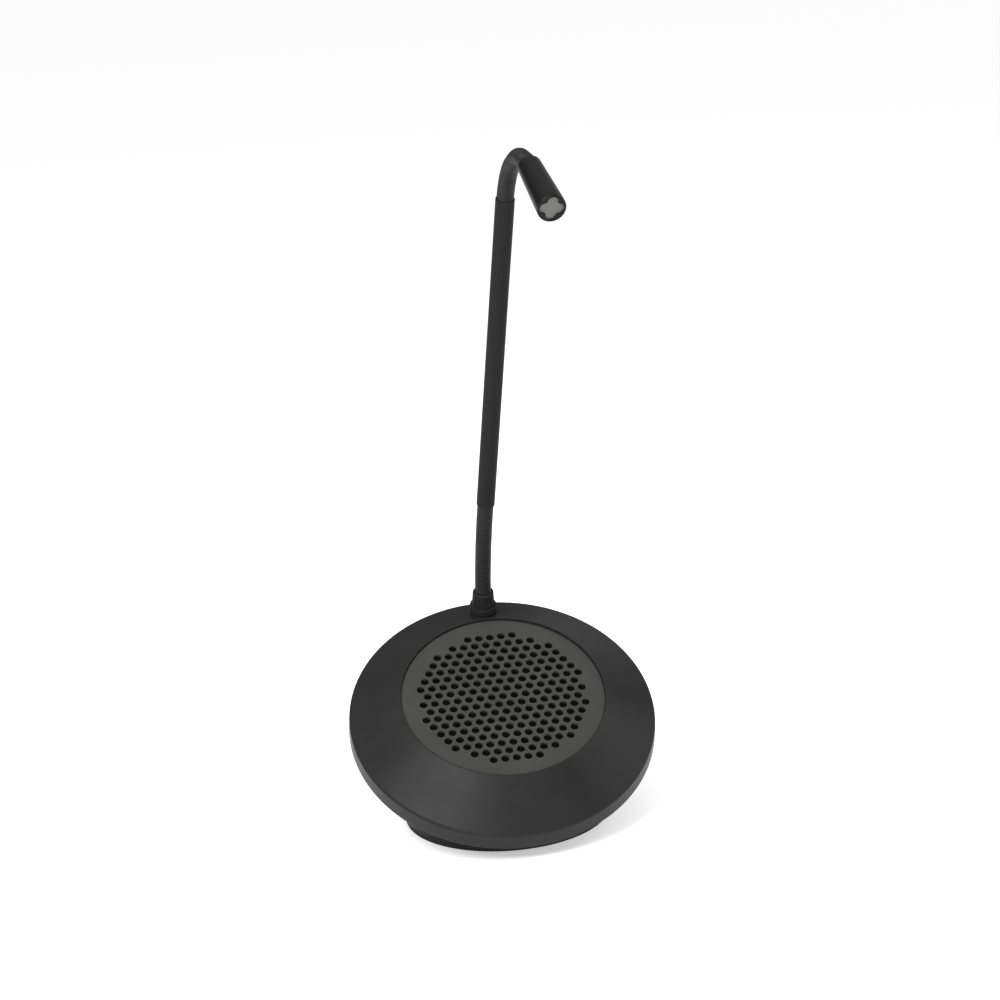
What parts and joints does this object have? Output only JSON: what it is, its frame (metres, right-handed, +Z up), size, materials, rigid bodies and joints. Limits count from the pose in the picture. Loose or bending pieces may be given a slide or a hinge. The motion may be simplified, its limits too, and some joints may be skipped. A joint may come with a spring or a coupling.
{
  "type": "gooseneck podium microphone with talk-back loudspeaker base",
  "caption": "Table microphone: a head on a twin-flex gooseneck rises from the back of a round loudspeaker housing with a perforated top, which leans on a cylindrical pedestal.",
  "frame": {"origin": "centre of the foot pad's underside, on the table", "axes": "+Z up; -Y towards the talker, the side the housing leans to; +X to the right as seen by someone who faces +Y"},
  "size_m": [0.1486, 0.1785, 0.33],
  "materials": {
    "shell": "fine satin texture",
    "plate": "satin powder coat",
    "cloth": "woven, matt",
    "pan": "satin",
    "screw_steel": "zinc plated",
    "base_moulding": "satin",
    "ballast": "zinc plated",
    "pad_rubber": "matt",
    "gasket_foam": "matt foam",
    "basket_steel": "zinc plated",
    "surround_rubber": "matt",
    "spider_cloth": "resin dipped weave",
    "cone_paper": "felted paper",
    "copper": "varnished winding",
    "ferrite": "ground ferrite",
    "terminal_board": "phenolic board",
    "lead_jacket": "satin jacket",
    "board": "solder mask",
    "components": "moulded",
    "brass": "turned",
    "socket": "moulded",
    "neck_black": "satin black",
    "flex_black": "satin black ribbed",
    "head_black": "satin black anodised",
    "holder_rubber": "matt",
    "capsule": "nickel plated",
    "screen": "fine woven mesh"
  },
  "bodies": {
    "base": {"upper_shell": "shell", "grille_plate": "plate", "acoustic_cloth": "cloth", "lower_pan": "pan", "pan_screws": "screw_steel", "flange_screws": "screw_steel", "pedestal": "base_moulding", "ballast_plate": "ballast", "ballast_screws": "screw_steel", "foot_pad": "pad_rubber", "speaker_gasket": "gasket_foam", "speaker_frame": "basket_steel", "speaker_screws": "screw_steel", "speaker_surround": "surround_rubber", "speaker_spider": "spider_cloth", "front_plate": "basket_steel", "ring_magnet": "ferrite", "pole_plate": "basket_steel", "speaker_terminals": "terminal_board", "speaker_leads": "lead_jacket", "circuit_board": "board", "board_parts": "components", "board_spacers": "brass", "board_screws": "screw_steel", "link_socket": "socket", "neck_boot": "neck_black", "boot_washer": "screw_steel", "boot_nut": "screw_steel", "base_lead": "lead_jacket", "lower_flex_root": "flex_black"},
    "voice": {"speaker_cone": "cone_paper", "dust_cap": "cone_paper", "voice_coil": "copper"},
    "lower_1": {"lower_link_1": "flex_black"},
    "lower_2": {"lower_link_2": "flex_black"},
    "lower_3": {"lower_link_3": "flex_black"},
    "lower_4": {"lower_link_4": "flex_black"},
    "lower_5": {"lower_link_5": "flex_black"},
    "lower_6": {"lower_link_6": "flex_black"},
    "tube": {"neck_tube": "neck_black", "tube_lower_plug": "flex_black", "tube_upper_plug": "flex_black", "tube_lead": "lead_jacket"},
    "upper_1": {"upper_link_1": "flex_black"},
    "upper_2": {"upper_link_2": "flex_black"},
    "upper_3": {"upper_link_3": "flex_black"},
    "upper_4": {"upper_link_4": "flex_black"},
    "upper_5": {"upper_link_5": "flex_black"},
    "upper_6": {"upper_link_6": "flex_black"},
    "upper_7": {"upper_link_7": "flex_black"},
    "upper_8": {"upper_link_8": "flex_black"},
    "head": {"head_lead": "lead_jacket", "head_ferrule": "flex_black", "head_barrel": "head_black", "capsule_holder": "holder_rubber", "mic_capsule": "capsule", "mic_screen": "screen", "head_cap": "head_black"}
  },
  "joints": [
    {"name": "voice_travel", "type": "slide", "parent": "base", "child": "voice", "axis": [0, -0.5075, 0.8616], "range_m": [-0.001, 0.001], "stiffness_N_per_m": 1000},
    {"name": "lower_bend", "type": "hinge", "parent": "base", "child": "lower_1", "pos_m": [0, 0.03302, 0.10686], "axis": [1, 0, 0], "range_deg": [-15, 15]},
    {"name": "lower_side", "type": "hinge", "parent": "lower_1", "child": "lower_2", "pos_m": [0, 0.03033, 0.11378], "axis": [0, 0.932, 0.3624], "range_deg": [-15, 15]},
    {"name": "lower_bend_2", "type": "hinge", "parent": "lower_2", "child": "lower_3", "pos_m": [0.00017, 0.02763, 0.1207], "axis": [0.9997, 0.0084, -0.0217], "range_deg": [-15, 15]},
    {"name": "lower_side_2", "type": "hinge", "parent": "lower_3", "child": "lower_4", "pos_m": [0.00035, 0.02503, 0.12766], "axis": [-0.0003, 0.9367, 0.3502], "range_deg": [-15, 15]},
    {"name": "lower_bend_3", "type": "hinge", "parent": "lower_4", "child": "lower_5", "pos_m": [0.00069, 0.02243, 0.13461], "axis": [0.9989, 0.0166, -0.0435], "range_deg": [-15, 15]},
    {"name": "lower_side_3", "type": "hinge", "parent": "lower_5", "child": "lower_6", "pos_m": [0.00104, 0.01993, 0.14159], "axis": [-0.0009, 0.9412, 0.3379], "range_deg": [-15, 15]},
    {"name": "lower_bend_4", "type": "hinge", "parent": "lower_6", "child": "tube", "pos_m": [0.00155, 0.01742, 0.14857], "axis": [0.9976, 0.0244, -0.0653], "range_deg": [-15, 15]},
    {"name": "upper_bend", "type": "hinge", "parent": "tube", "child": "upper_1", "pos_m": [0.01331, -0.03732, 0.3076], "axis": [0.9976, 0.0244, -0.0653], "range_deg": [-15.57, 4]},
    {"name": "upper_side", "type": "hinge", "parent": "upper_1", "child": "upper_2", "pos_m": [0.0137, -0.0406, 0.31234], "axis": [0.017, 0.8237, 0.5668], "range_deg": [-12, 12]},
    {"name": "upper_bend_2", "type": "hinge", "parent": "upper_2", "child": "upper_3", "pos_m": [0.01434, -0.04386, 0.31707], "axis": [0.9938, 0.0485, -0.1001], "range_deg": [-15.57, 4]},
    {"name": "upper_bend_3", "type": "hinge", "parent": "upper_3", "child": "upper_4", "pos_m": [0.01492, -0.04828, 0.32074], "axis": [0.9938, 0.0485, -0.1001], "range_deg": [-15.57, 4]},
    {"name": "upper_side_2", "type": "hinge", "parent": "upper_4", "child": "upper_5", "pos_m": [0.01542, -0.05354, 0.32309], "axis": [0.0714, 0.4129, 0.908], "range_deg": [-12, 12]},
    {"name": "upper_bend_4", "type": "hinge", "parent": "upper_5", "child": "upper_6", "pos_m": [0.01615, -0.05878, 0.32542], "axis": [0.9893, 0.087, -0.1173], "range_deg": [-15.57, 4]},
    {"name": "upper_bend_5", "type": "hinge", "parent": "upper_6", "child": "upper_7", "pos_m": [0.01675, -0.06446, 0.32625], "axis": [0.9893, 0.087, -0.1173], "range_deg": [-15.57, 4]},
    {"name": "upper_side_3", "type": "hinge", "parent": "upper_7", "child": "upper_8", "pos_m": [0.01717, -0.07018, 0.32553], "axis": [0.127, -0.1153, 0.9852], "range_deg": [-12, 12]},
    {"name": "upper_bend_6", "type": "hinge", "parent": "upper_8", "child": "head", "pos_m": [0.01783, -0.07587, 0.32477], "axis": [0.9853, 0.129, -0.1119], "range_deg": [-15.57, 4]}
  ],
  "couplings": [
    {"joint": "lower_bend_2", "follows": "lower_bend", "ratio": 1},
    {"joint": "lower_side_2", "follows": "lower_side", "ratio": 1},
    {"joint": "lower_bend_3", "follows": "lower_bend", "ratio": 1},
    {"joint": "lower_side_3", "follows": "lower_side", "ratio": 1},
    {"joint": "lower_bend_4", "follows": "lower_bend", "ratio": 1},
    {"joint": "upper_bend_2", "follows": "upper_bend", "ratio": 1},
    {"joint": "upper_bend_3", "follows": "upper_bend", "ratio": 1},
    {"joint": "upper_side_2", "follows": "upper_side", "ratio": 1},
    {"joint": "upper_bend_4", "follows": "upper_bend", "ratio": 1},
    {"joint": "upper_bend_5", "follows": "upper_bend", "ratio": 1},
    {"joint": "upper_side_3", "follows": "upper_side", "ratio": 1},
    {"joint": "upper_bend_6", "follows": "upper_bend", "ratio": 1}
  ]
}
